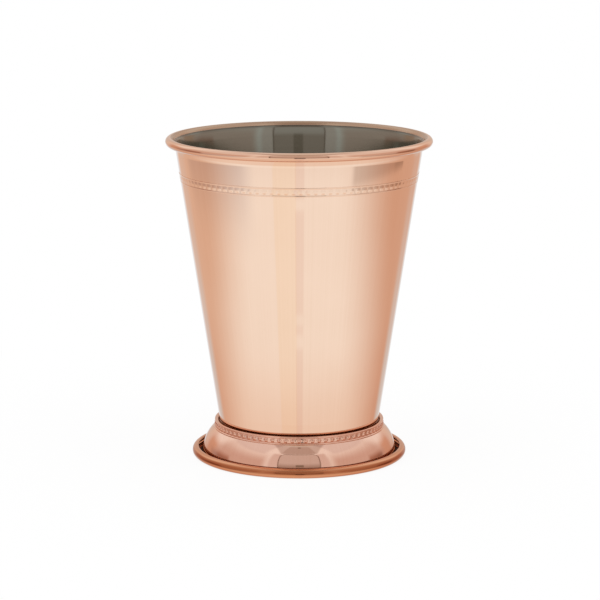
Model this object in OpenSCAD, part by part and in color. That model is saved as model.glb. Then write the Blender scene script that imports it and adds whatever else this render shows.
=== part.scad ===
// Julep cup: a tapered copper cup with a steel lining, standing on a spun foot.
// The origin is the centre of the circle that the foot stands on, and +Z is up.

/* [Cup] */
// Height of the top of the rolled rim above the table
cup_h = 108.3; // [102:0.1:114]
// Outside diameter over the rolled rim
rim_d = 89; // [86:0.5:94]
// Thickness of the rolled bead at the rim
rim_roll_d = 2.9; // [2.4:0.1:3.6]
// Lean of the short stretch of wall that runs into the roll, from upright
mouth_lean = 30; // [24:1:34]
// Length of that stretch
mouth_len = 1.5; // [1.2:0.1:2.4]
// Diameter of the cup across its rounded bottom edge
base_d = 54.3; // [50:0.1:54.4]
// Outside radius of the rounded bottom edge
base_edge_r = 3.2; // [2:0.1:4]
// Thickness of the copper sheet
copper_t = 0.4; // [0.3:0.05:0.6]

/* [Lining] */
// Thickness of the steel lining
lining_t = 0.25; // [0.2:0.05:0.5]
// Gap between the lining and the copper, which the bond fills
lining_gap = 0.03; // [0.02:0.01:0.1]
// Depth of the lining's edge below the top of the rim
lining_drop = 1.2; // [1.1:0.1:2]

/* [Upper band] */
// Depth of the band's upper edge below the top of the rim
band_drop = 11.6; // [8:0.1:30]
// Height of the band
band_h = 3; // [2.8:0.1:4]
// Thickness of the strip between its borders
band_t = 0.12; // [0.08:0.01:0.3]
// How far the borders stand out from the strip
band_border = 0.12; // [0.06:0.01:0.2]
// Height of each border
band_border_h = 0.4; // [0.3:0.05:0.45]
// Width of each bead where it leaves the strip
band_bead_w = 1.9; // [1:0.1:2]
// How far the beads stand out from the strip
band_bead_rise = 0.2; // [0.15:0.01:0.5]
// Number of beads on the band
band_beads = 105; // [60:1:112]

/* [Foot] */
// How far the foot's rolled edge reaches out beyond the cup's bottom edge
foot_reach = 9.05; // [8:0.05:12]
// Thickness of the rolled edge
foot_roll_d = 3.2; // [2.8:0.1:3.6]
// Angle at which the roll ends, from level and outward, going over the top
foot_roll_end = 110; // [95:1:125]
// Gap between the flare and the circle of the roll
foot_crevice = 0.18; // [0.1:0.02:0.5]
// Height of the flange that carries the cup
foot_h = 10.6; // [10:0.1:11.4]
// Radius of the shoulder between flange and flare
shoulder_r = 3; // [2:0.1:4]
// How far the centre of the shoulder's bend lies inside the cup's bottom edge
shoulder_inset = 0.4; // [0.3:0.01:1]
// Radius of the bend at the bottom of the flare
heel_r = 0.9; // [0.8:0.1:1.2]
// Diameter of the hole in the flange
flange_hole_d = 40; // [30:1:46]
// Thickness of the foot's sheet
foot_t = 0.5; // [0.4:0.05:0.6]

/* [Collar] */
// Gap between the cup's bottom edge and the collar
collar_gap = 0.15; // [0.1:0.05:0.5]
// Thickness of the collar between its lip and its border
collar_t = 1.05; // [0.8:0.05:1.3]
// Height of the collar's top above the flange
collar_rise = 1.8; // [1.7:0.1:2.6]
// Height of the rounded lip at the top
collar_lip_h = 0.7; // [0.5:0.05:0.75]
// How far the lip stands out from the collar
collar_lip = 0.26; // [0.2:0.02:0.4]
// Height of the border that runs down to the flare
collar_border_h = 0.5; // [0.3:0.05:0.55]
// How far the border stands out from the collar at the flare
collar_border = 0.6; // [0.5:0.02:0.7]
// Width of each bead where it leaves the collar
collar_bead_w = 1.35; // [1:0.05:1.4]
// How far the beads stand out from the collar
collar_bead_rise = 0.42; // [0.3:0.02:0.6]
// Number of beads on the collar
collar_beads = 80; // [50:1:88]

/* [Braze] */
// Height of the braze above the flange
braze_h = 0.8; // [0.5:0.1:1.2]
// Width of the braze, inward from the collar
braze_w = 2.1; // [1.6:0.1:2.4]

/* [Hidden] */
$fn = 180;

// Gap between curved faces that are seated on each other
seat_gap = 0.03;
// Depth to which beads and borders are rooted, as a share of the strip or stand that carries them
root_share = 0.5;
// Depth of a band's faceted skin, as a share of the band's wall
skin_share = 0.3;
// Height of the bevels of a border's nose, and of the collar's edge, as a share of the border's height
bevel_share = 0.25;
// Overrun of a faceted skin into its borders and into the core behind it
strip_lap = 0.05;
// Angle between the points of an arc
arc_step = 10;
// Overrun of every cut
over = 1;

// Colours of the polished copper, the paler collar, the brushed steel and the braze
copper = [0.93, 0.76, 0.66];
collar_copper = [0.85, 0.64, 0.55];
steel = [0.5, 0.48, 0.45];
braze = [0.8, 0.68, 0.42];

// Centres of the roll at the rim and of the roll under the foot
rim_roll = [rim_d / 2 - rim_roll_d / 2, cup_h - rim_roll_d / 2];
foot_roll = [base_d / 2 + foot_reach - foot_roll_d / 2, foot_roll_d / 2];
// Height of the lining's edge
lining_top = cup_h - lining_drop;
// Angle at which the rim's roll ends, below and inward, a little short of the wall
rim_roll_end = -130;

// Point at an angle on a circle
function on_circle(centre, r, angle) = centre + r * [cos(angle), sin(angle)];

// Points along an arc, from one angle to another
function arc_points(centre, r, from, to) =
    let (steps = ceil(abs(to - from) / arc_step))
    [for (i = [0 : steps]) on_circle(centre, r, from + (to - from) * i / steps)];

// The copper's inner face at the mouth leaves the roll as a tangent and ends at a slight bend
mouth_top = on_circle(rim_roll, rim_roll_d / 2, 180 - mouth_lean);
mouth_bend = mouth_top - mouth_len * [sin(mouth_lean), cos(mouth_lean)];

// Centre and inside radius of the rounded bottom edge
edge_centre = [base_d / 2 - base_edge_r, foot_h + base_edge_r];
edge_inner_r = base_edge_r - copper_t;
// Lean of the wall, whose inner face runs from the bend as a tangent to the rounded edge
edge_to_bend = mouth_bend - edge_centre;
wall_lean = acos(edge_inner_r / norm(edge_to_bend)) - atan2(edge_to_bend.y, edge_to_bend.x);

// Radius at height z of the face that lies parallel to the wall, at a distance from the edge's centre
function wall_r(z, distance) =
    edge_centre.x + (distance + (z - edge_centre.y) * sin(wall_lean)) / cos(wall_lean);

// Point at the bend of a face inset from the copper's inner face
bend_angle = (mouth_lean - wall_lean) / 2;
bend_mitre = [-cos(wall_lean + bend_angle), sin(wall_lean + bend_angle)] / cos(bend_angle);
function mouth_at_bend(inset) = mouth_bend + inset * bend_mitre;

// Upper band: its lower edge, and the strip's two faces as distances from the edge's centre
band_z = cup_h - band_drop - band_h;
band_back = base_edge_r + seat_gap;
band_face = band_back + band_t;
band_core = band_back + band_t * (1 - skin_share);

// The flare starts upright above the heel, and bends inwards to meet the shoulder as a tangent
flare_foot_r = base_d / 2 + foot_reach - foot_roll_d - foot_crevice;
shoulder_centre = [base_d / 2 - shoulder_inset, foot_h - shoulder_r];
shoulder_out = flare_foot_r - shoulder_centre.x;
shoulder_up = shoulder_centre.y - heel_r;
flare_r = (pow(shoulder_out, 2) + pow(shoulder_up, 2) - pow(shoulder_r, 2)) / (2 * (shoulder_out - shoulder_r));
flare_centre = [flare_foot_r - flare_r, heel_r];
shoulder_join = atan2(shoulder_up, shoulder_centre.x - flare_centre.x);
heel_centre = [flare_foot_r + heel_r - foot_t, heel_r];

// Collar's bore, face and lower edge, and the bevel on which it stands, which touches the shoulder
// under its face
collar_bore_r = base_d / 2 + collar_gap;
collar_face_r = collar_bore_r + collar_t;
collar_edge_r = collar_face_r + collar_border;
seat_r = shoulder_r + seat_gap;
seat_angle = max(shoulder_join, acos((collar_face_r - shoulder_centre.x) / seat_r));
function seat_z(r) =
    shoulder_centre.y + (seat_r - (r - shoulder_centre.x) * cos(seat_angle)) / sin(seat_angle);
collar_bottom = seat_z(collar_edge_r);
collar_top = foot_h + collar_rise;

// Points of a face of a drawn cup, inset from the copper's inner face: floor, rounded edge and bend
function cup_face(inset) = concat(
    [[0, edge_centre.y - edge_inner_r + inset]],
    arc_points(edge_centre, edge_inner_r - inset, -90, -wall_lean),
    [mouth_at_bend(inset)]
);

// Points of a face of the copper cup with its roll, r being the face's radius in the roll
function shell_face(inset, r) = concat(
    cup_face(inset), arc_points(rim_roll, r, 180 - mouth_lean, rim_roll_end)
);

// Points of a face of the lining, which ends level
function lining_face(inset) = concat(
    cup_face(inset),
    [[mouth_at_bend(inset).x + (lining_top - mouth_at_bend(inset).y) * tan(mouth_lean), lining_top]]
);

// Points of a face of the foot's sheet: inset is 0 on the upper side and the sheet's thickness below.
// The sheet bends the other way at its heel and in the roll, so there the lower side is the larger.
function foot_face(inset) = concat(
    [[flange_hole_d / 2, foot_h - inset]],
    arc_points(shoulder_centre, shoulder_r - inset, 90, shoulder_join),
    arc_points(flare_centre, flare_r - inset, shoulder_join, 0),
    arc_points(heel_centre, heel_r - foot_t + inset, 180, 270),
    arc_points(foot_roll, foot_roll_d / 2 - foot_t + inset, -90, foot_roll_end)
);

// Section of a sheet between the points of its two faces
module sheet(face, other_face) {
    polygon(concat(face, [for (i = [len(other_face) - 1 : -1 : 0]) other_face[i]]));
}

// Ring of beads on flat facets, each a cap of a sphere that starts a little below its facet. The
// facets lie at a radius and lean back from upright.
module bead_ring(count, radius, z, lean, width, rise, root) {
    r = (pow(width / 2, 2) + pow(rise, 2)) / (2 * rise);
    for (i = [0 : count - 1])
        rotate(i * 360 / count) translate([radius, 0, z]) rotate([0, 90 + lean, 0]) intersection() {
            translate([0, 0, rise - r]) sphere(r, $fn = 32);
            translate([-width, -width, -root]) cube([2 * width, 2 * width, root + 2 * rise]);
        }
}

// Points of a border's bevelled nose, which stands out from a face: how far out, and at what height
function nose_points(face, z, height, stand) = [
    [face + stand * root_share, z], [face + stand, z + height * bevel_share],
    [face + stand, z + height * (1 - bevel_share)], [face + stand * root_share, z + height]
];

// Corners of a ring of flat facets whose middles lie at a radius
function facet_corners(count, radius) =
    [for (i = [0 : count - 1]) on_circle([0, 0], radius / cos(180 / count), (i + 1 / 2) * 360 / count)];

// Copper cup, its mouth rolled outwards and down into a bead
module cup_shell() {
    color(copper) rotate_extrude()
        sheet(shell_face(-copper_t, rim_roll_d / 2 - copper_t), shell_face(0, rim_roll_d / 2));
}

// Steel cup that lines the copper one, from below the roll down over the floor
module steel_lining() {
    color(steel) rotate_extrude()
        sheet(lining_face(lining_gap), lining_face(lining_gap + lining_t));
}

// Border strip soldered round the wall: beads on a skin of flat facets, between two thin borders
module upper_bead_band() {
    low = band_z + band_border_h;
    high = band_z + band_h - band_border_h;
    middle = band_z + band_h / 2;
    bore = (band_back + band_core) / 2;
    n = band_beads;
    section = concat(
        [[band_back, band_z]],
        nose_points(band_face, band_z, band_border_h, band_border),
        [[band_core, low], [band_core, high]],
        nose_points(band_face, high, band_border_h, band_border),
        [[band_back, band_z + band_h]]
    );
    color(copper) {
        rotate_extrude($fn = 360) polygon([for (p = section) [wall_r(p.y, p.x), p.y]]);
        difference() {
            polyhedron(
                points = [
                    for (z = [low - strip_lap, high + strip_lap])
                        for (p = facet_corners(n, wall_r(z, band_face))) [p.x, p.y, z]
                ],
                faces = concat(
                    [[for (i = [0 : n - 1]) i], [for (i = [n - 1 : -1 : 0]) n + i]],
                    [for (i = [0 : n - 1]) [i, n + i, n + (i + 1) % n, (i + 1) % n]]
                )
            );
            translate([0, 0, low - over]) cylinder(
                h = high - low + 2 * over, r1 = wall_r(low - over, bore), r2 = wall_r(high + over, bore)
            );
        }
        bead_ring(n, wall_r(middle, band_face), middle, wall_lean, band_bead_w, band_bead_rise,
                (band_face - band_core) * root_share);
    }
}

// Spun foot: flange, shoulder, domed flare, heel, flat face to rest on and open roll
module foot_ring() {
    color(copper) rotate_extrude() sheet(foot_face(0), foot_face(foot_t));
}

// Beaded collar that stands on the foot's shoulder and hides the joint
module foot_bead_band() {
    low = collar_bottom + collar_border_h;
    high = collar_top - collar_lip_h;
    core_r = collar_face_r - collar_t * skin_share;
    color(collar_copper) {
        rotate_extrude() polygon(concat(
            [
                [collar_bore_r, seat_z(collar_bore_r)], [collar_edge_r, collar_bottom],
                [collar_edge_r, collar_bottom + collar_border_h * bevel_share],
                [collar_face_r + collar_border * root_share, low], [core_r, low], [core_r, high]
            ],
            nose_points(collar_face_r, high, collar_lip_h, collar_lip),
            [[collar_bore_r, collar_top]]
        ));
        translate([0, 0, low - strip_lap]) linear_extrude(high - low + 2 * strip_lap) difference() {
            polygon(facet_corners(collar_beads, collar_face_r));
            circle(core_r - strip_lap);
        }
        bead_ring(collar_beads, collar_face_r, (low + high) / 2, 0, collar_bead_w, collar_bead_rise,
                collar_t * skin_share * root_share);
    }
}

// Braze that fills the foot of the groove between cup, flange and collar
module braze_seam() {
    outer = collar_bore_r - seat_gap;
    color(braze) rotate_extrude() difference() {
        translate([outer - braze_w, foot_h]) square([braze_w, braze_h]);
        translate(edge_centre) circle(base_edge_r + seat_gap);
    }
}

cup_shell();
steel_lining();
upper_bead_band();
foot_ring();
foot_bead_band();
braze_seam();
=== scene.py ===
import math

import bpy
import numpy as np
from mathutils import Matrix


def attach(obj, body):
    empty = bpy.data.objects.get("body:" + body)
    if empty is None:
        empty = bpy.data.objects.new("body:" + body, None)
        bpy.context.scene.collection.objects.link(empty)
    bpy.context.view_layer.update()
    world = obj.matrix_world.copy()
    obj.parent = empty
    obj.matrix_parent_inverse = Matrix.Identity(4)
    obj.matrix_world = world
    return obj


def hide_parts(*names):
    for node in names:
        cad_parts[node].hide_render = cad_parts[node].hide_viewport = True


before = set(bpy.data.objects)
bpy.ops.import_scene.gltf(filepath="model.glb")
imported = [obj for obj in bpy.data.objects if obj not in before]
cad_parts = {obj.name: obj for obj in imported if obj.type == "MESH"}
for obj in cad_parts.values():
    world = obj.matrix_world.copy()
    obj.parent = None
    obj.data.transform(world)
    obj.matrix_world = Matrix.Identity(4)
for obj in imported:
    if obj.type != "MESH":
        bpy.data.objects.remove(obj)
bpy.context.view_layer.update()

# Julep cup: a polished copper cup lined with brushed steel, on a spun foot with a beaded collar.
# Sections are written in millimetres, as (radius, height) points, and meshes are in metres.
scene = bpy.context.scene
mm = 0.001


# Colour from sRGB hex digits, each channel turned to linear light
def linearColour(hexDigits):
    channels = [int(hexDigits[i:i + 2], 16) / 255 for i in (0, 2, 4)]
    return tuple(c / 12.92 if c <= 0.04045 else ((c + 0.055) / 1.055) ** 2.4 for c in channels) + (1,)


# Adds a node: settings are its properties, and inputs, by name or number, are values, or sockets
# or nodes to link, a node giving its first output
def addNode(tree, kind, inputs=None, **settings):
    node = tree.nodes.new(kind)
    for key, value in settings.items():
        setattr(node, key, value)
    for key, value in (inputs or {}).items():
        if isinstance(value, bpy.types.Node):
            value = next(output for output in value.outputs if output.enabled)
        if isinstance(value, bpy.types.NodeSocket):
            tree.links.new(value, node.inputs[key])
        else:
            node.inputs[key].default_value = value
    return node


# Emptied node tree of a new material or world
def emptyTree(owner):
    owner.use_nodes = True
    owner.node_tree.nodes.clear()
    return owner.node_tree


# Rays that mirror a thing or pass glass to it, and all rays that show it, which are those and the
# camera's own
def showingRays(tree):
    rays = addNode(tree, "ShaderNodeLightPath")
    mirrored = addNode(tree, "ShaderNodeMath", {
        0: rays.outputs["Is Glossy Ray"], 1: rays.outputs["Is Transmission Ray"]}, operation="MAXIMUM")
    shown = addNode(tree, "ShaderNodeMath", {
        0: mirrored, 1: rays.outputs["Is Camera Ray"]}, operation="MAXIMUM")
    return mirrored, shown


# Arc: centre + radius * (cos, sin) of angles in degrees, a point every few degrees
def arcPoints(centre, radius, start, end, step=6):
    count = math.ceil(abs(end - start) / step) + 1
    angles = np.radians(np.linspace(start, end, count))
    return np.column_stack([centre[0] + radius * np.cos(angles), centre[1] + radius * np.sin(angles)])


# Straight run: evenly spaced points between two ends, both ends left out
def linePoints(start, end, count):
    share = np.linspace(0, 1, count + 2)[1:-1, None]
    return np.asarray(start) * (1 - share) + np.asarray(end) * share


# Rounded edge of a sheet: a half circle from the end of one face to the end of the other,
# middle - half * cos t + normal * sin t, that stands out to the left of the way from start to end
def edgeRound(start, end, count=5):
    start, end = np.asarray(start), np.asarray(end)
    middle, half = (start + end) / 2, (end - start) / 2
    normal = np.array([-half[1], half[0]])
    t = np.linspace(0, math.pi, count + 2)[1:-1, None]
    return middle - half * np.cos(t) + normal * np.sin(t)


# Mesh from a closed section carried round Z: x = r cos a, y = r sin a. The section is put
# anticlockwise, so that its faces point out. A section that starts and ends on the axis has poles.
# lift moves each grid point along one direction in the section's plane.
def latheMesh(name, section, angles, lift=0, liftWay=(1, 0)):
    section = np.asarray(section, float)
    nextPoint = np.roll(section, -1, axis=0)
    if np.sum(section[:, 0] * nextPoint[:, 1] - nextPoint[:, 0] * section[:, 1]) < 0:
        section = section[::-1]
        lift = lift[:, ::-1] if isinstance(lift, np.ndarray) else lift
    hasPoles = section[0, 0] == 0 and section[-1, 0] == 0
    ring = section[1:-1] if hasPoles else section
    steps, count = len(angles), len(ring)
    radius = ring[None, :, 0] + lift * liftWay[0]
    height = ring[None, :, 1] + lift * liftWay[1] + 0 * radius
    turn = angles[:, None]
    grid = [radius * np.cos(turn), radius * np.sin(turn), height + 0 * turn]
    points = np.stack(grid, axis=-1).reshape(-1, 3)
    here = np.arange(steps)[:, None] * count
    there = (np.arange(steps)[:, None] + 1) % steps * count
    low = np.arange(count - 1 if hasPoles else count)[None, :]
    high = (low + 1) % count
    corners = [here + low, there + low, there + high, here + high]
    faces = np.stack(corners, axis=-1).reshape(-1, 4).tolist()
    if hasPoles:
        first, last = len(points), len(points) + 1
        points = np.vstack([points, [0, 0, section[0, 1]], [0, 0, section[-1, 1]]])
        firstFan = np.column_stack([np.full(steps, first), there[:, 0], here[:, 0]])
        lastFan = np.column_stack([np.full(steps, last), here[:, 0] + count - 1, there[:, 0] + count - 1])
        faces += firstFan.tolist() + lastFan.tolist()
    mesh = bpy.data.meshes.new(name)
    mesh.from_pydata((points * mm).tolist(), [], faces)
    mesh.update()
    mesh.shade_smooth()
    piece = bpy.data.objects.new(name, mesh)
    scene.collection.objects.link(piece)
    return piece


# Even steps round the circle, in radians
def evenAngles(steps):
    return np.arange(steps) * 2 * math.pi / steps


# Finishes a piece: its material, the body it rides on, and the CAD node that it stands for, which is hidden
def finishPiece(piece, material, node):
    piece.data.materials.append(material)
    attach(piece, "root")
    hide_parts(node)
    print(f"{piece.name}: {len(piece.data.polygons)} faces")


# Cup

cup = {
    "height": 108.3, "rimWidth": 89, "rimRoll": 2.9, "rimRollEnd": -130,
    "mouthLean": 30, "mouthLength": 1.5,
    "baseWidth": 54.3, "baseEdge": 3.2, "sheet": 0.4, "floorLift": 10.6,
    "steps": 480, "floorPoints": 6, "wallPoints": 30, "rollStep": 8,
    "colour": "F5D8C2", "deepColour": "F2D4BD", "roughness": 0.02, "anisotropy": 0.5, "marks": 0.00005,
    "darkRings": [
        {"name": "inner side of the roll", "radius": (0, 42.9), "height": (107, 120), "fade": 0.5,
         "strength": 1, "colour": "B89C84", "roughness": 0.25},
        {"name": "roll", "radius": (43, 46), "height": (104, 120), "fade": 0.8,
         "strength": 1, "colour": "EAC2A8", "roughness": 0.05},
        # painted shade: the cup's rounded bottom edge is darkened where it sits in the groove by the collar
        {"name": "painted shade on the edge in the groove", "radius": (20, 27.8), "height": (10, 12.3), "fade": 0.3,
         "strength": 0.4, "colour": "8A4626", "roughness": 0.3},
    ],
}

rimRoll = np.array([cup["rimWidth"] / 2 - cup["rimRoll"] / 2, cup["height"] - cup["rimRoll"] / 2])
mouthLean = math.radians(cup["mouthLean"])
mouthTop = rimRoll + cup["rimRoll"] / 2 * np.array([-math.cos(mouthLean), math.sin(mouthLean)])
mouthBend = mouthTop - cup["mouthLength"] * np.array([math.sin(mouthLean), math.cos(mouthLean)])
edgeCentre = np.array([cup["baseWidth"] / 2 - cup["baseEdge"], cup["floorLift"] + cup["baseEdge"]])
edgeInner = cup["baseEdge"] - cup["sheet"]

# The wall runs from the mouth's bend as a tangent to the rounded bottom edge
edgeToBend = mouthBend - edgeCentre
wallLean = math.acos(edgeInner / np.hypot(*edgeToBend)) - math.atan2(edgeToBend[1], edgeToBend[0])


# Radius at a height of the face that lies parallel to the wall, at a distance from the edge's centre
def wallRadius(height, distance):
    return edgeCentre[0] + (distance + (height - edgeCentre[1]) * math.sin(wallLean)) / math.cos(wallLean)


# Point at the mouth's bend of a face inset from the copper's inner face: a mitre between both leans
def mouthAtBend(inset):
    halfBend = (mouthLean - wallLean) / 2
    way = np.array([-math.cos(wallLean + halfBend), math.sin(wallLean + halfBend)])
    return mouthBend + inset * way / math.cos(halfBend)


# Face of a drawn cup: floor from the axis, rounded edge, straight wall and bend
def cupFace(inset):
    radius = edgeInner - inset
    edge = arcPoints(edgeCentre, radius, -90, -math.degrees(wallLean))
    bend = mouthAtBend(inset)
    floor = [0, edgeCentre[1] - radius]
    acrossFloor = linePoints(floor, edge[0], cup["floorPoints"])
    upWall = linePoints(edge[-1], bend, cup["wallPoints"])
    return np.vstack([floor, acrossFloor, edge, upWall, bend])


# Face of the copper cup with its roll, radius being the face's radius in the roll
def shellFace(inset, radius):
    roll = arcPoints(rimRoll, radius, 180 - cup["mouthLean"], cup["rimRollEnd"], cup["rollStep"])
    return np.vstack([cupFace(inset), roll])


# What all the copper shares. Tools' marks on a turned or drawn surface are 0.05 to 0.2 mm apart. They
# are drawn 0.5 mm apart to show, and an eighth of a metre long. The colour's patches are 25 mm wide.
# Streaks is the number of streaks, about a millimetre wide, in a sixth of the way round.
polish = {
    "lines": 0.5, "lineLength": 125, "patches": 25, "streaks": 40, "deepening": (0.1, 0.4), "drift": 0.15,
}


# Polished copper: spun, then buffed in the lathe, so that it mirrors crisply round the cup and a
# little blurred up and down. The colour drifts very slightly from patch to patch, as handled metal
# does, and faint streaks run down the wall. Marks is the depth of the tools' marks in millimetres. A
# dark ring is darker metal of its own roughness, between two radii and two heights in millimetres,
# whose edges fade over a width. Some dark rings are painted shade in grooves and the foot's channel,
# and painted darker reflection on the foot's roll.
def polishedCopper(name, piece):
    material = bpy.data.materials.new(name)
    tree = emptyTree(material)
    place = addNode(tree, "ShaderNodeTexCoord").outputs["Object"]
    patches = addNode(tree, "ShaderNodeTexNoise", {
        "Vector": place, "Scale": 1 / (polish["patches"] * mm), "Detail": 3, "Roughness": 0.6})
    level = addNode(tree, "ShaderNodeVectorMath", {0: place, 1: (1, 1, 0)}, operation="MULTIPLY")
    outward = addNode(tree, "ShaderNodeVectorMath", {0: level}, operation="NORMALIZE")
    streaks = addNode(tree, "ShaderNodeTexNoise", {
        "Vector": outward, "Scale": polish["streaks"], "Detail": 2, "Roughness": 0.7})
    drift = addNode(tree, "ShaderNodeMath", {0: patches, 1: streaks}, operation="MULTIPLY")
    tint = addNode(tree, "ShaderNodeMapRange", {
        "Value": drift, "From Min": polish["deepening"][0], "From Max": polish["deepening"][1]})
    metal = addNode(tree, "ShaderNodeMix", {
        "Factor": tint, "A": linearColour(piece["colour"]), "B": linearColour(piece["deepColour"]),
    }, data_type="RGBA")
    rough = addNode(tree, "ShaderNodeMapRange", {
        "Value": patches, "To Min": piece["roughness"] * (1 - polish["drift"]),
        "To Max": piece["roughness"] * (1 + polish["drift"])})

    radius = addNode(tree, "ShaderNodeVectorMath", {0: level}, operation="LENGTH").outputs["Value"]
    height = addNode(tree, "ShaderNodeSeparateXYZ", {"Vector": place}).outputs["Z"]
    for darkRing in piece["darkRings"]:
        share, half = darkRing["strength"], darkRing["fade"] / 2
        for value, (low, high) in ((radius, darkRing["radius"]), (height, darkRing["height"])):
            for end, way in ((low, half), (high, -half)):
                share = addNode(tree, "ShaderNodeMapRange", {
                    "Value": value, "From Min": (end - way) * mm, "From Max": (end + way) * mm,
                    "To Max": share}, interpolation_type="SMOOTHSTEP")
        metal = addNode(tree, "ShaderNodeMix", {
            "Factor": share, "A": metal, "B": linearColour(darkRing["colour"]),
        }, data_type="RGBA", label=darkRing["name"])
        rough = addNode(tree, "ShaderNodeMix", {
            "Factor": share, "A": rough, "B": darkRing["roughness"]}, data_type="FLOAT")

    # Lines run round the axis: the pattern is stretched level and fine upwards
    along = 1 / (polish["lineLength"] * mm)
    lines = addNode(tree, "ShaderNodeMapping", {
        "Vector": place, "Scale": (along, along, 1 / (polish["lines"] * mm))})
    lineNoise = addNode(tree, "ShaderNodeTexNoise", {
        "Vector": lines, "Scale": 1, "Detail": 2, "Roughness": 0.5})
    bump = addNode(tree, "ShaderNodeBump", {
        "Height": lineNoise, "Strength": 1, "Distance": piece["marks"] * mm})
    tangent = addNode(tree, "ShaderNodeTangent", direction_type="RADIAL", axis="Z")
    shader = addNode(tree, "ShaderNodeBsdfPrincipled", {
        "Base Color": metal, "Metallic": 1, "Roughness": rough, "Anisotropic": piece["anisotropy"],
        "Anisotropic Rotation": 0.25, "Tangent": tangent, "Normal": bump})
    addNode(tree, "ShaderNodeOutputMaterial", {"Surface": shader})
    return material


outer = shellFace(-cup["sheet"], cup["rimRoll"] / 2 - cup["sheet"])
inner = shellFace(0, cup["rimRoll"] / 2)
shellSection = np.vstack([outer, edgeRound(outer[-1], inner[-1]), inner[::-1]])
shell = latheMesh("polishedCup", shellSection, evenAngles(cup["steps"]))
finishPiece(shell, polishedCopper("polishedCopperCup", cup), "cup_shell")

# Lining

# Brush strokes are 0.05 to 0.1 mm apart. They are drawn 0.4 mm apart to show, at 30 a metre along the
# brushing and 2500 a metre across it. brighteningDepths gives the depths below the rim between which
# the steel goes from dull to bright.
lining = {
    "sheet": 0.25, "gap": 0.03, "drop": 1.2, "steps": 480, "bendPoints": 4,
    "strokes": (30, 30, 2500), "marks": 0.004, "roughness": (0.09, 0.12), "brighteningDepths": (16, 45),
    "colour": "85887E", "paleColour": "8F9288", "brightColour": "C4C7C1",
    "underRollShadeColour": "6A6358", "underRollShadeDepth": 0.9,
}
liningTop = cup["height"] - lining["drop"]


# Face of the lining, which follows the copper inside and ends level below the roll
def liningFace(inset):
    bend = mouthAtBend(inset)
    edge = [bend[0] + (liningTop - bend[1]) * math.tan(mouthLean), liningTop]
    return np.vstack([cupFace(inset), linePoints(bend, edge, lining["bendPoints"]), edge])


# Brushed stainless steel: brushed round the bowl with fine grit, so that it is grey, soft and
# streaked along the brushing. It is duller near the mouth and brighter further down, and its bent
# edge under the roll is painted darkest, as shade that the roll casts on it.
def brushedSteel():
    material = bpy.data.materials.new("brushedStainlessSteel")
    tree = emptyTree(material)
    place = addNode(tree, "ShaderNodeTexCoord").outputs["Object"]
    strokes = addNode(tree, "ShaderNodeMapping", {"Vector": place, "Scale": lining["strokes"]})
    strokeNoise = addNode(tree, "ShaderNodeTexNoise", {
        "Vector": strokes, "Scale": 1, "Detail": 4, "Roughness": 0.6})
    tint = addNode(tree, "ShaderNodeMix", {
        "Factor": strokeNoise, "A": linearColour(lining["colour"]), "B": linearColour(lining["paleColour"]),
    }, data_type="RGBA")
    height = addNode(tree, "ShaderNodeSeparateXYZ", {"Vector": place}).outputs["Z"]
    nearMouth = addNode(tree, "ShaderNodeMapRange", {
        "Value": height, "From Min": (cup["height"] - lining["brighteningDepths"][1]) * mm,
        "From Max": (cup["height"] - lining["brighteningDepths"][0]) * mm})
    bowlTint = addNode(tree, "ShaderNodeMix", {
        "Factor": nearMouth, "A": linearColour(lining["brightColour"]), "B": tint}, data_type="RGBA")
    # painted shade: the lining's top edge under the roll is darkened, as shade from the roll
    underRollShade = addNode(tree, "ShaderNodeMapRange", {
        "Value": height, "From Min": (liningTop - lining["underRollShadeDepth"]) * mm,
        "From Max": (liningTop - lining["sheet"]) * mm})
    metal = addNode(tree, "ShaderNodeMix", {
        "Factor": underRollShade, "A": bowlTint, "B": linearColour(lining["underRollShadeColour"])}, data_type="RGBA")
    bump = addNode(tree, "ShaderNodeBump", {
        "Height": strokeNoise, "Strength": 1, "Distance": lining["marks"] * mm})
    rough = addNode(tree, "ShaderNodeMapRange", {
        "Value": strokeNoise, "To Min": lining["roughness"][0], "To Max": lining["roughness"][1]})
    tangent = addNode(tree, "ShaderNodeTangent", direction_type="RADIAL", axis="Z")
    shader = addNode(tree, "ShaderNodeBsdfPrincipled", {
        "Base Color": metal, "Metallic": 1, "Roughness": rough, "Anisotropic": 1,
        "Anisotropic Rotation": 0.25, "Tangent": tangent, "Normal": bump})
    addNode(tree, "ShaderNodeOutputMaterial", {"Surface": shader})
    return material


outer, inner = liningFace(lining["gap"]), liningFace(lining["gap"] + lining["sheet"])
liningSection = np.vstack([outer, edgeRound(outer[-1], inner[-1]), inner[::-1]])
bowl = latheMesh("steelLining", liningSection, evenAngles(lining["steps"]))
finishPiece(bowl, brushedSteel(), "steel_lining")

# Beads


# Angles of the columns of a beaded band, in radians. Each bead has columns at sines of even steps,
# so that its round edge runs through grid points, and one column stands between two beads.
def beadColumns(radius, piece):
    half = piece["beadWidth"] / 2 / radius
    offsets = half * np.sin(np.radians(np.linspace(-90, 90, piece["columns"])))
    offsets = np.append(offsets, math.pi / piece["beads"])
    return (np.arange(piece["beads"])[:, None] * 2 * math.pi / piece["beads"] + offsets[None, :]).ravel()


# Rows of a bead, as distances from its middle, at sines of even steps too
def beadRows(piece):
    return piece["beadWidth"] / 2 * np.sin(np.radians(np.linspace(-90, 90, piece["rows"])))


# Height of the beads over the band: rise * (1 - (d / half width)^2)^shape, with d the distance
# from the nearest bead's middle, and zero beyond it
def beadHeight(angles, rows, radius, piece):
    step = 2 * math.pi / piece["beads"]
    along = ((angles + step / 2) % step - step / 2) * radius
    square = (along[:, None] ** 2 + rows[None, :] ** 2) / (piece["beadWidth"] / 2) ** 2
    return piece["beadRise"] * np.clip(1 - square, 0, None) ** piece["beadShape"]


# Rounded border: half an ellipse from its lower to its upper end, standing out from a face
def borderPoints(face, low, height, stand, count=8):
    t = np.linspace(0, math.pi, count + 1)
    return np.column_stack([face + stand * np.sin(t), low + height * (1 - np.cos(t)) / 2])


# Upper band: its section is set out from the wall, as (distance, height) points, and leans with it

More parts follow.
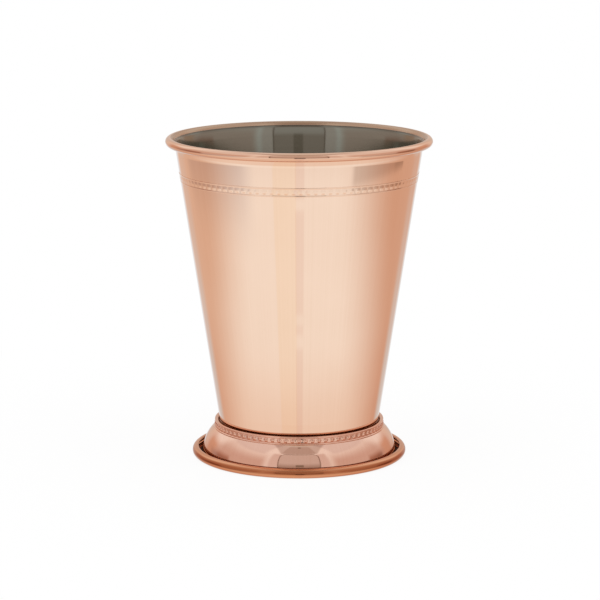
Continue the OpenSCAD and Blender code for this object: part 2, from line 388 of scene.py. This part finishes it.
band = {
    "drop": 11.6, "height": 3, "strip": 0.03, "border": 0.035, "borderHeight": 0.4, "seat": 0.03,
    "beadWidth": 1.9, "beadRise": 0.055, "beadShape": 1.3, "beads": 105, "rows": 11, "columns": 9,
    "colour": "F5D9C3", "deepColour": "F1D3BB", "roughness": 0.09, "anisotropy": 0.4, "marks": 0.0002,
    "darkRings": [],
}

bandLow = cup["height"] - band["drop"] - band["height"]
bandHigh = bandLow + band["height"]
bandMiddle = (bandLow + bandHigh) / 2
bandBack = cup["baseEdge"] + band["seat"]
bandFace = bandBack + band["strip"]
rows = beadRows(band)
lower = borderPoints(bandFace, bandLow, band["borderHeight"], band["border"])
upper = borderPoints(bandFace, bandHigh - band["borderHeight"], band["borderHeight"], band["border"])
beaded = np.column_stack([np.full(len(rows), bandFace), bandMiddle + rows])
back = [[bandBack, bandHigh], [bandBack, bandLow]]
bandSection = np.array([[wallRadius(z, d), z] for d, z in np.vstack([lower, beaded, upper, back])])
bandRadius = wallRadius(bandMiddle, bandFace)
angles = beadColumns(bandRadius, band)
lift = np.zeros((len(angles), len(bandSection)))
lift[:, len(lower):len(lower) + len(rows)] = beadHeight(angles, rows, bandRadius, band)
outFromWall = (math.cos(wallLean), -math.sin(wallLean))
beadStrip = latheMesh("upperBeadBand", bandSection, angles, lift, outFromWall)
finishPiece(beadStrip, polishedCopper("stampedCopperBand", band), "upper_bead_band")

# Foot

foot = {
    "reach": 9.05, "roll": 3.2, "rollEnd": 110, "crevice": 0.18,
    "shoulder": 3, "shoulderInset": 0.4, "heel": 0.9, "hole": 40, "sheet": 0.5,
    "steps": 600, "flangePoints": 4, "flareStep": 3, "heelStep": 10, "rollStep": 8,
    "colour": "EDC6B2", "deepColour": "E8BFA9", "roughness": 0.06, "anisotropy": 0.5, "marks": 0.0002,
    "darkRings": [
        # painted reflection: the foot's roll is painted a deeper copper, as its doubled reflections of
        # copper look
        {"name": "roll", "radius": (33.4, 40), "height": (-1, 5), "fade": 1,
         "strength": 1, "colour": "DA9C76", "roughness": 0.1},
        # painted reflection: the upper outside of the foot's roll is painted dark orange, as it looks when
        # it mirrors dark surroundings
        {"name": "painted dark reflection on the roll's outer side", "radius": (35.4, 40), "height": (1.4, 2.7), "fade": 0.4,
         "strength": 0.8, "colour": "AA623C", "roughness": 0.15},
        # painted shade: the channel between flare and roll is painted nearly black
        {"name": "painted shade in the channel between flare and roll", "radius": (32, 34.05), "height": (-1, 2), "fade": 0.4,
         "strength": 1, "colour": "24130B", "roughness": 0.5},
    ],
}

footRoll = np.array([cup["baseWidth"] / 2 + foot["reach"] - foot["roll"] / 2, foot["roll"] / 2])
flareFoot = cup["baseWidth"] / 2 + foot["reach"] - foot["roll"] - foot["crevice"]
shoulderCentre = np.array([
    cup["baseWidth"] / 2 - foot["shoulderInset"], cup["floorLift"] - foot["shoulder"]])
shoulderOut = flareFoot - shoulderCentre[0]
shoulderUp = shoulderCentre[1] - foot["heel"]
# The flare ends upright and touches the shoulder: (radius - out)^2 + up^2 = (radius - shoulder)^2
flareRadius = (shoulderOut ** 2 + shoulderUp ** 2 - foot["shoulder"] ** 2) / (
    2 * (shoulderOut - foot["shoulder"]))
flareCentre = np.array([flareFoot - flareRadius, foot["heel"]])
shoulderJoin = math.degrees(math.atan2(shoulderUp, shoulderCentre[0] - flareCentre[0]))
heelCentre = np.array([flareFoot + foot["heel"] - foot["sheet"], foot["heel"]])


# Face of the foot's sheet: level flange, then shoulder, domed flare, heel and open roll, which are
# arcs joined as tangents
def footFace(inset):
    hole = np.array([[foot["hole"] / 2, cup["floorLift"] - inset]])
    shoulder = arcPoints(shoulderCentre, foot["shoulder"] - inset, 90, shoulderJoin, foot["flareStep"])
    rollRadius = foot["roll"] / 2 - foot["sheet"] + inset
    return np.vstack([
        hole, linePoints(hole[0], shoulder[0], foot["flangePoints"]), shoulder,
        arcPoints(flareCentre, flareRadius - inset, shoulderJoin, 0, foot["flareStep"])[1:],
        arcPoints(heelCentre, foot["heel"] - foot["sheet"] + inset, 180, 270, foot["heelStep"])[1:],
        arcPoints(footRoll, rollRadius, -90, foot["rollEnd"], foot["rollStep"]),
    ])


upper, under = footFace(0), footFace(foot["sheet"])
footSection = np.vstack([upper, edgeRound(under[-1], upper[-1])[::-1], under[::-1]])
spunFoot = latheMesh("spunFoot", footSection, evenAngles(foot["steps"]))
finishPiece(spunFoot, polishedCopper("polishedCopperFoot", foot), "foot_ring")

# Collar

collar = {
    "gap": 0.15, "wall": 1.05, "rise": 1.8, "lip": 0.26, "lipHeight": 0.7,
    "border": 0.6, "borderHeight": 0.5, "seat": 0.03,
    "beadWidth": 1.35, "beadRise": 0.34, "beadShape": 0.8, "beads": 80, "rows": 11, "columns": 11,
    "lowerPoints": 8,
    "colour": "E8BDA8", "deepColour": "E2B39C", "roughness": 0.1, "anisotropy": 0.3, "marks": 0.0002,
    "darkRings": [
        # painted shade: the collar's bore is darkened where it shows in the groove
        {"name": "painted shade on the bore in the groove", "radius": (26, 27.6), "height": (10, 12.35), "fade": 0.2,
         "strength": 1, "colour": "A05C38", "roughness": 0.4},
    ],
}

collarBore = cup["baseWidth"] / 2 + collar["gap"]
collarFace = collarBore + collar["wall"]
collarEdge = collarFace + collar["border"]
collarTop = cup["floorLift"] + collar["rise"]
seatRadius = foot["shoulder"] + collar["seat"]
seatAngle = max(math.radians(shoulderJoin), math.acos((collarFace - shoulderCentre[0]) / seatRadius))


# Height at a radius of the bevel on which the collar stands, a tangent to the foot's shoulder under
# the collar's face
def seatHeight(radius):
    return shoulderCentre[1] + (
        seatRadius - (radius - shoulderCentre[0]) * math.cos(seatAngle)) / math.sin(seatAngle)


collarLow = seatHeight(collarEdge)
beadMiddle = (collarLow + collar["borderHeight"] + collarTop - collar["lipHeight"]) / 2
rows = beadRows(collar)
# The border is a quarter of an ellipse that runs down to the flare
quarter = np.radians(np.linspace(0, 90, collar["lowerPoints"]))
lower = np.column_stack([
    collarFace + collar["border"] * np.cos(quarter),
    collarLow + collar["borderHeight"] * np.sin(quarter)])
upper = borderPoints(collarFace, collarTop - collar["lipHeight"], collar["lipHeight"], collar["lip"])
beaded = np.column_stack([np.full(len(rows), collarFace), beadMiddle + rows])
back = [[collarBore, collarTop], [collarBore, seatHeight(collarBore)]]
collarSection = np.vstack([lower, beaded, upper, back])
angles = beadColumns(collarFace, collar)
lift = np.zeros((len(angles), len(collarSection)))
lift[:, len(lower):len(lower) + len(rows)] = beadHeight(angles, rows, collarFace, collar)
beadCollar = latheMesh("footBeadCollar", collarSection, angles, lift)
finishPiece(beadCollar, polishedCopper("stampedCopperCollar", collar), "foot_bead_band")

# Braze

braze = {
    "height": 0.8, "width": 2.1, "hollow": 0.18, "waver": 0.004, "gap": 0.03,
    "steps": 240, "hollowPoints": 7,
    "colour": "A8683E", "deepColour": "985A34", "roughness": 0.3, "grain": 1.5, "marks": 0.001,
}

brazeOuter = collarBore - braze["gap"]
brazeTop = cup["floorLift"] + braze["height"]
brazeCup = cup["baseEdge"] + braze["gap"]


# Angle on the cup's rounded edge at which the braze reaches a height
def brazeAngle(height):
    return math.degrees(math.asin((height - edgeCentre[1]) / brazeCup))


# Set braze: brown filler, painted darker still as the shade of the groove it sits in. It wetted both sides,
# so it hollows between them and its surface wavers a very little along the joint
def setBraze():
    material = bpy.data.materials.new("setBraze")
    tree = emptyTree(material)
    place = addNode(tree, "ShaderNodeTexCoord").outputs["Object"]
    grain = addNode(tree, "ShaderNodeTexNoise", {
        "Vector": place, "Scale": 1 / (braze["grain"] * mm), "Detail": 4})
    # painted shade: the braze's brown is kept dark for the groove it fills
    metal = addNode(tree, "ShaderNodeMix", {
        "Factor": grain, "A": linearColour(braze["colour"]), "B": linearColour(braze["deepColour"]),
    }, data_type="RGBA")
    bump = addNode(tree, "ShaderNodeBump", {
        "Height": grain, "Strength": 1, "Distance": braze["marks"] * mm})
    shader = addNode(tree, "ShaderNodeBsdfPrincipled", {
        "Base Color": metal, "Metallic": 1, "Roughness": braze["roughness"], "Normal": bump})
    addNode(tree, "ShaderNodeOutputMaterial", {"Surface": shader})
    return material


innerRadius = brazeOuter - braze["width"]
innerHeight = edgeCentre[1] - math.sqrt(brazeCup ** 2 - (innerRadius - edgeCentre[0]) ** 2)
cupSide = arcPoints(edgeCentre, brazeCup, brazeAngle(innerHeight), brazeAngle(brazeTop))
# The hollow is a parabola between the two sides, and three waves round the joint deepen it a little
share = np.linspace(0, 1, braze["hollowPoints"] + 2)[1:-1]
meniscus = np.column_stack([
    cupSide[-1, 0] + (brazeOuter - cupSide[-1, 0]) * share,
    brazeTop - 4 * braze["hollow"] * share * (1 - share)])
brazeSection = np.vstack([
    [innerRadius, cup["floorLift"]], cupSide, meniscus,
    [brazeOuter, brazeTop], [brazeOuter, cup["floorLift"]]])
angles = evenAngles(braze["steps"])
lift = np.zeros((len(angles), len(brazeSection)))
wave = np.sin(5 * angles) + 0.6 * np.sin(13 * angles + 1) + 0.4 * np.sin(31 * angles + 2)
firstHollow = 1 + len(cupSide)
lift[:, firstHollow:firstHollow + len(share)] = -braze["waver"] * np.abs(wave)[:, None]
brazeRing = latheMesh("brazeRing", brazeSection, angles, lift, (0, 1))
finishPiece(brazeRing, setBraze(), "braze_seam")

# Floor: a plain white table, which only the metal doesn't mirror, because the tent below does that.
# Its sizes are in metres. Near and far are the distances between which it turns plain white.

table = {"size": 4, "colour": "F4F4F4", "near": 0.06, "far": 0.2, "nearGlow": 0.92}


# White laminate: matt and even. By the cup it takes a soft shadow, and further out it is as white as
# the light behind it, so that it ends without a line.
def whiteTable():
    material = bpy.data.materials.new("whiteLaminate")
    tree = emptyTree(material)
    place = addNode(tree, "ShaderNodeTexCoord").outputs["Object"]
    away = addNode(tree, "ShaderNodeVectorMath", {0: place}, operation="LENGTH")
    glow = addNode(tree, "ShaderNodeMapRange", {
        "Value": away.outputs["Value"], "From Min": table["near"], "From Max": table["far"],
        "To Min": table["nearGlow"]}, interpolation_type="SMOOTHSTEP")
    shown = showingRays(tree)[1]
    share = addNode(tree, "ShaderNodeMath", {0: glow, 1: shown}, operation="MULTIPLY")
    paint = addNode(tree, "ShaderNodeBsdfDiffuse", {"Color": linearColour(table["colour"])})
    light = addNode(tree, "ShaderNodeEmission")
    both = addNode(tree, "ShaderNodeMixShader", {0: share, 1: paint, 2: light})
    addNode(tree, "ShaderNodeOutputMaterial", {"Surface": both})
    return material


half = table["size"] / 2
corners = [(-half, -half, 0), (half, -half, 0), (half, half, 0), (-half, half, 0)]
tableMesh = bpy.data.meshes.new("table")
tableMesh.from_pydata(corners, [], [(0, 1, 2, 3)])
tableMesh.materials.append(whiteTable())
floor = bpy.data.objects.new("table", tableMesh)
scene.collection.objects.link(floor)
floor.visible_glossy = False

# Light tent: what the metal mirrors, as tints laid over white one after another. Azimuths run from
# the camera's side to the right and heights from level up, in degrees, each with the width over
# which that edge fades. A limit beyond what an angle can reach leaves that side open. A cover hides
# what is under it instead of tinting it.
# Across says how the azimuth is taken. A leaning one is mirrored further round towards the foot, a
# paired one holds on both sides, and an aside one is the angle off the cup's middle plane, which
# keeps a panel overhead equally wide. Up says how the height is taken. A swept one falls away
# towards the sides, so that its edge is mirrored level on the cup's wall.
tent = [
    {"name": "table by the foot", "azimuth": (-200, 200), "soft": (1, 1), "height": (-200, -30.5),
     "fade": (1, 2.6), "tint": "F6E8E0", "up": "swept"},
    {"name": "left side", "azimuth": (-400, -76), "soft": (1, 62), "height": (-200, -6),
     "fade": (1, 12), "tint": "E4C5B3", "across": "leaning"},
    {"name": "right side", "azimuth": (73, 400), "soft": (72, 1), "height": (-200, -6),
     "fade": (1, 12), "tint": "DBB5A1", "across": "leaning"},
    {"name": "left screen", "azimuth": (-130, -52), "soft": (14, 22), "height": (-26.4, -6),
     "fade": (3, 12), "tint": "E2E2E8", "up": "swept"},
    {"name": "right screen", "azimuth": (54, 117), "soft": (6, 2.5), "height": (-26, -6),
     "fade": (0.3, 12), "tint": "E1DDDB", "up": "swept"},
    {"name": "outer edge of the right screen", "azimuth": (104, 117), "soft": (6, 2.5), "height": (-26, -6),
     "fade": (0.3, 12), "tint": "EDEEEE", "up": "swept"},
    {"name": "upper air", "azimuth": (-200, 200), "soft": (1, 1), "height": (-25.6, -6),
     "fade": (1, 12), "tint": "F9F7F7", "up": "swept"},
    {"name": "left half of the door", "azimuth": (-26, -3), "soft": (2, 1), "height": (-200, -10),
     "fade": (1, 10), "tint": "FFFBF4"},
    {"name": "low walls", "azimuth": (42, 118), "soft": (14, 20), "height": (-4, 34),
     "fade": (10, 36), "tint": "DDC4BB", "across": "paired"},
    {"name": "skirting", "azimuth": (92, 118), "soft": (6, 20), "height": (-12, 9),
     "fade": (4, 14), "tint": "D4B4A4", "across": "paired"},
    {"name": "low sides", "azimuth": (118, 146), "soft": (20, 16), "height": (-8, 18),
     "fade": (3, 16), "tint": "DEB59E", "across": "paired"},
    {"name": "lit strip by the door", "azimuth": (26, 38), "soft": (1, 6), "height": (-4, 47),
     "fade": (10, 6), "tint": "E6D7D3", "across": "paired"},
    {"name": "upper walls", "azimuth": (50, 128), "soft": (10, 14), "height": (42, 80),
     "fade": (8, 8), "tint": "EFE9EA", "across": "paired"},
    {"name": "panel over the door", "azimuth": (-1, 18.5), "soft": (1, 2.5), "height": (49, 76),
     "fade": (3, 8), "tint": "D8CFCC", "across": "aside"},
    {"name": "middle of the panel", "azimuth": (-1, 27), "soft": (1, 4), "height": (49, 76),
     "fade": (3, 8), "tint": "EAE2DE", "across": "paired"},
    {"name": "roof", "azimuth": (-200, 200), "soft": (1, 1), "height": (76, 200),
     "fade": (8, 1), "tint": "D8D5CE"},
    {"name": "back corner", "azimuth": (143, 400), "soft": (16, 1), "height": (-200, -14),
     "fade": (1, 8), "tint": "D8D5D6", "across": "paired", "cover": True},
    {"name": "left backdrop", "azimuth": (-400, -160), "soft": (1, 14), "height": (-200, 70),
     "fade": (1, 16), "tint": "ECEFF4", "cover": True},
    {"name": "right backdrop", "azimuth": (160, 400), "soft": (14, 1), "height": (-200, 70),
     "fade": (1, 16), "tint": "EAEBED", "cover": True},
    {"name": "far sides", "azimuth": (146, 400), "soft": (16, 1), "height": (-7, 34),
     "fade": (3, 20), "tint": "EDDACB", "across": "paired"},
    {"name": "foot of the door", "azimuth": (-1, 25), "soft": (1, 1), "height": (-8, 14),
     "fade": (6, 16), "tint": "D2C6BE", "across": "paired"},
    {"name": "lens", "azimuth": (-4, 5.5), "soft": (1, 1), "height": (-15, -4),
     "fade": (1.2, 1.2), "tint": "302E2A"},
    {"name": "stand", "azimuth": (-4, 5.5), "soft": (1, 1), "height": (8, 15),
     "fade": (2, 2), "tint": "C2BEB4"},
    {"name": "lamp hole", "azimuth": (-3, 4.5), "soft": (4, 4), "height": (70, 74),
     "fade": (4, 4), "tint": "B4ACA4"},
]
# The door's seam below the camera: swept heights between its lit gaps
seamRuns = [(-200, -29.51), (-29.2, -28.97), (-28.75, -26.39), (-26.14, -12)]
tent += [
    {"name": "seam", "azimuth": (-4, 5), "soft": (1.5, 1.5), "height": run, "fade": (0.05, 0.05),
     "tint": "F9F3F2", "up": "swept"} for run in seamRuns]
sweep = {"rise": 19.4, "top": -26, "foot": -31.3, "lean": 0.69}
door = {
    "halfWidth": 25, "spread": 0.04, "top": 48, "corner": 8, "blur": 0.5, "fadeIn": (-14, 0),
    "tint": "D8CCC8", "edge": 1.1, "edgeTint": "90796A",
}
# Strength of the plain white that lights what doesn't mirror
roomLight = 0.6


# World of the tent. A swept height is height - rise * (1 - cos(azimuth / 2)). A leaning azimuth is
# the azimuth times a share that falls with the swept height, from 1 at the sweep's top to lean at
# its foot.
def tentWorld():
    world = bpy.data.worlds.new("lightTent")
    tree = emptyTree(world)
    direction = addNode(tree, "ShaderNodeTexCoord").outputs["Generated"]
    way = addNode(tree, "ShaderNodeSeparateXYZ", {"Vector": direction})
    toCamera = addNode(tree, "ShaderNodeMath", {0: way.outputs["Y"], 1: -1}, operation="MULTIPLY")
    turn = addNode(tree, "ShaderNodeMath", {0: way.outputs["X"], 1: toCamera}, operation="ARCTAN2")
    azimuth = addNode(tree, "ShaderNodeMath", {0: turn}, operation="DEGREES")
    paired = addNode(tree, "ShaderNodeMath", {0: azimuth}, operation="ABSOLUTE")
    offPlane = addNode(tree, "ShaderNodeMath", {0: way.outputs["X"]}, operation="ABSOLUTE")
    beside = addNode(tree, "ShaderNodeMath", {0: offPlane}, operation="ARCSINE")
    aside = addNode(tree, "ShaderNodeMath", {0: beside}, operation="DEGREES")
    climb = addNode(tree, "ShaderNodeMath", {0: way.outputs["Z"]}, operation="ARCSINE")
    height = addNode(tree, "ShaderNodeMath", {0: climb}, operation="DEGREES")
    halfTurn = addNode(tree, "ShaderNodeMath", {0: turn, 1: 0.5}, operation="MULTIPLY")
    facing = addNode(tree, "ShaderNodeMath", {0: halfTurn}, operation="COSINE")
    fall = addNode(tree, "ShaderNodeMath", {0: facing, 1: -1, 2: 1}, operation="MULTIPLY_ADD")
    swept = addNode(tree, "ShaderNodeMath", {
        0: fall, 1: -sweep["rise"], 2: height}, operation="MULTIPLY_ADD")
    lean = addNode(tree, "ShaderNodeMapRange", {
        "Value": swept, "From Min": sweep["foot"], "From Max": sweep["top"], "To Min": sweep["lean"]})
    leaning = addNode(tree, "ShaderNodeMath", {0: azimuth, 1: lean}, operation="MULTIPLY")

    across = {"round": azimuth, "paired": paired, "leaning": leaning, "aside": aside}
    up = {"level": height, "swept": swept}
    white = linearColour("FFFFFF")
    colour = white
    for zone in tent:
        share = 1
        ranges = (
            (across[zone.get("across", "round")], zone["azimuth"], zone["soft"]),
            (up[zone.get("up", "level")], zone["height"], zone["fade"]))
        for value, (low, high), (lowFade, highFade) in ranges:
            for end, half in ((low, lowFade / 2), (high, -highFade / 2)):
                share = addNode(tree, "ShaderNodeMapRange", {
                    "Value": value, "From Min": end - half, "From Max": end + half, "To Max": share,
                }, interpolation_type="SMOOTHSTEP")
        colour = addNode(tree, "ShaderNodeMix", {
            "Factor": share, "A": colour, "B": linearColour(zone["tint"]),
        }, data_type="RGBA", blend_type="MIX" if zone.get("cover") else "MULTIPLY", label=zone["name"])

    # The door widens with height and has round upper corners: its edge is where the distance beyond
    # the corner's centre, sqrt(max(x, 0)^2 + max(y, 0)^2), equals the corner's radius
    width = addNode(tree, "ShaderNodeMath", {
        0: height, 1: door["spread"], 2: door["halfWidth"] - door["corner"]}, operation="MULTIPLY_ADD")
    outward = addNode(tree, "ShaderNodeMath", {0: paired, 1: width}, operation="SUBTRACT")
    above = addNode(tree, "ShaderNodeMath", {
        0: height, 1: door["top"] - door["corner"]}, operation="SUBTRACT")
    squares = []
    for side in (outward, above):
        positive = addNode(tree, "ShaderNodeMath", {0: side, 1: 0}, operation="MAXIMUM")
        squares.append(addNode(tree, "ShaderNodeMath", {0: positive, 1: 2}, operation="POWER"))
    reach = addNode(tree, "ShaderNodeMath", {0: squares[0], 1: squares[1]}, operation="ADD")
    distance = addNode(tree, "ShaderNodeMath", {0: reach}, operation="SQRT")
    beyond = addNode(tree, "ShaderNodeMath", {0: distance, 1: door["corner"]}, operation="SUBTRACT")
    lit = addNode(tree, "ShaderNodeMapRange", {
        "Value": height, "From Min": door["fadeIn"][0], "From Max": door["fadeIn"][1]})
    inside = addNode(tree, "ShaderNodeMapRange", {
        "Value": beyond, "From Min": door["blur"], "From Max": -door["blur"], "To Max": lit,
    }, interpolation_type="SMOOTHSTEP")
    off = addNode(tree, "ShaderNodeMath", {0: beyond}, operation="ABSOLUTE")
    edge = addNode(tree, "ShaderNodeMapRange", {
        "Value": off, "From Min": door["edge"], "From Max": 0, "To Max": lit,
    }, interpolation_type="SMOOTHSTEP")
    for share, tint in ((inside, door["tint"]), (edge, door["edgeTint"])):
        colour = addNode(tree, "ShaderNodeMix", {
            "Factor": share, "A": colour, "B": linearColour(tint),
        }, data_type="RGBA", blend_type="MULTIPLY")

    # The camera sees plain white, the metal sees the tent, and the rest is lit by a dimmer white
    mirrored, shown = showingRays(tree)
    tinted = addNode(tree, "ShaderNodeMix", {
        "Factor": mirrored, "A": white, "B": colour}, data_type="RGBA")
    strength = addNode(tree, "ShaderNodeMapRange", {"Value": shown, "To Min": roomLight})
    background = addNode(tree, "ShaderNodeBackground", {"Color": tinted, "Strength": strength})
    addNode(tree, "ShaderNodeOutputWorld", {"Surface": background})
    return world


scene.world = tentWorld()

# Soft lamps over the table, which the metal doesn't mirror: places and sizes in metres, power in watts
lamps = {
    "top": {"place": (0, 0, 1.4), "size": 1.6, "power": 9},
    "left": {"place": (-1.1, -0.7, 0.9), "size": 1.0, "power": 4},
    "right": {"place": (1.1, -0.7, 0.9), "size": 1.0, "power": 4},
}
for name, lamp in lamps.items():
    data = bpy.data.lights.new(name, "AREA")
    data.size = lamp["size"]
    data.energy = lamp["power"]
    item = bpy.data.objects.new(name, data)
    item.location = lamp["place"]
    towards = -item.location.normalized()
    item.rotation_euler = towards.to_track_quat("-Z", "Y").to_euler()
    item.visible_glossy = False
    scene.collection.objects.link(item)
print("tent and lamps ready")

# Camera: its place in millimetres, its pitch in degrees, and the column of the picture on which the
# cup's axis stands, in pixels of the picture's width, are those of the photograph

view = {
    "place": (0, -840.1, 214.2), "pitch": 10.872, "lens": 152.4, "sensor": 36,
    "axis": 299.1, "width": 600,
}

cameraData = bpy.data.cameras.new("camera")
cameraData.lens = view["lens"]
cameraData.sensor_width = view["sensor"]
cameraData.shift_x = (view["width"] / 2 - view["axis"]) / view["width"]
camera = bpy.data.objects.new("camera", cameraData)
camera.location = [length * mm for length in view["place"]]
camera.rotation_euler = (math.radians(90 - view["pitch"]), 0, 0)
scene.collection.objects.link(camera)
scene.camera = camera
scene.view_settings.view_transform = "Standard"
